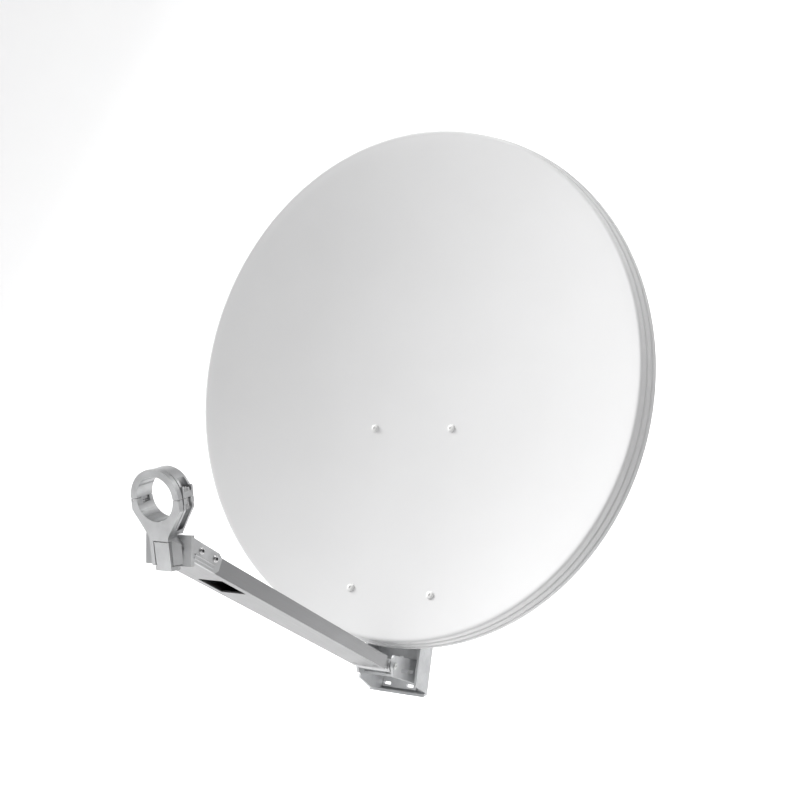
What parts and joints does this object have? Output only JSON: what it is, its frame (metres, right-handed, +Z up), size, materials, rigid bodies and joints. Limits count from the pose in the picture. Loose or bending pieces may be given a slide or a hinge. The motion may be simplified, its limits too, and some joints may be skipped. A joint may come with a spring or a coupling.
{
  "type": "satellite dish",
  "caption": "Offset satellite dish with a folding feed arm, a hinged clamp for the receiver's neck and a tilting bracket that clamps to a mast.",
  "frame": {"origin": "on the mast axis at mid height of the mast clamp", "axes": "+Z up the mast, the dish faces -Y, +X to the right seen from the front"},
  "size_m": [0.66, 0.717, 0.7629],
  "materials": {
    "reflector_coat": "light grey powder coat, fine texture",
    "white_bolt": "white plastic-coated bolt heads",
    "pad_rubber": "black moulded rubber",
    "galvanised": "light grey galvanised and coated steel sheet",
    "bracket_steel": "galvanised steel sheet",
    "zinc": "bright zinc-plated steel",
    "scale_plate": "satin aluminium strip",
    "arm_aluminium": "extruded aluminium, satin",
    "cast_aluminium": "die-cast aluminium, fine grain",
    "stainless": "stainless steel"
  },
  "bodies": {
    "mast_bracket": {"mast_bracket": "galvanised", "mast_bolts": "zinc", "pivot_bolt": "zinc", "pivot_nut": "zinc", "lock_bolt": "zinc", "lock_nut": "zinc", "side_washers": "zinc"},
    "upper_jaw": {"upper_jaw": "galvanised", "upper_jaw_nuts": "zinc"},
    "lower_jaw": {"lower_jaw": "galvanised", "lower_jaw_nuts": "zinc"},
    "dish": {"reflector": "reflector_coat", "reflector_bolts": "white_bolt", "reflector_pads": "pad_rubber", "reflector_nuts": "zinc", "carrier": "galvanised", "upper_strap": "galvanised", "lower_strap": "galvanised", "strap_rivets": "zinc", "elevation_scale": "scale_plate", "arm_bracket": "bracket_steel", "bracket_bolts": "zinc", "bracket_nuts": "zinc", "arm_pivot_bolt": "zinc", "arm_pivot_nut": "zinc"},
    "feed_arm": {"feed_arm": "arm_aluminium", "hinge_block": "cast_aluminium", "hinge_block_pins": "zinc", "arm_head": "cast_aluminium", "head_screws": "stainless", "clamp_yoke": "cast_aluminium", "stem_screws": "stainless", "stem_clip": "cast_aluminium", "clip_screw": "stainless", "cap_pin": "stainless"},
    "clamp_cap": {"clamp_cap": "cast_aluminium", "clamp_screw": "stainless"}
  },
  "joints": [
    {"name": "elevation", "type": "hinge", "parent": "mast_bracket", "child": "dish", "pos_m": [0, -0.105, 0.035], "axis": [-1, 0, 0], "range_deg": [-20, 20]},
    {"name": "arm_fold", "type": "hinge", "parent": "dish", "child": "feed_arm", "pos_m": [0, -0.22955, -0.17862], "axis": [-1, 0, 0], "range_deg": [0, 62]},
    {"name": "cap_hinge", "type": "hinge", "parent": "feed_arm", "child": "clamp_cap", "pos_m": [-0.024, -0.63404, 0.05719], "axis": [0, -0.9863, -0.1648], "range_deg": [0, 10]},
    {"name": "upper_jaw_slide", "type": "slide", "parent": "mast_bracket", "child": "upper_jaw", "axis": [0, 1, 0], "range_m": [-0.018, 0.014]},
    {"name": "lower_jaw_slide", "type": "slide", "parent": "mast_bracket", "child": "lower_jaw", "axis": [0, 1, 0], "range_m": [-0.018, 0.014]}
  ]
}
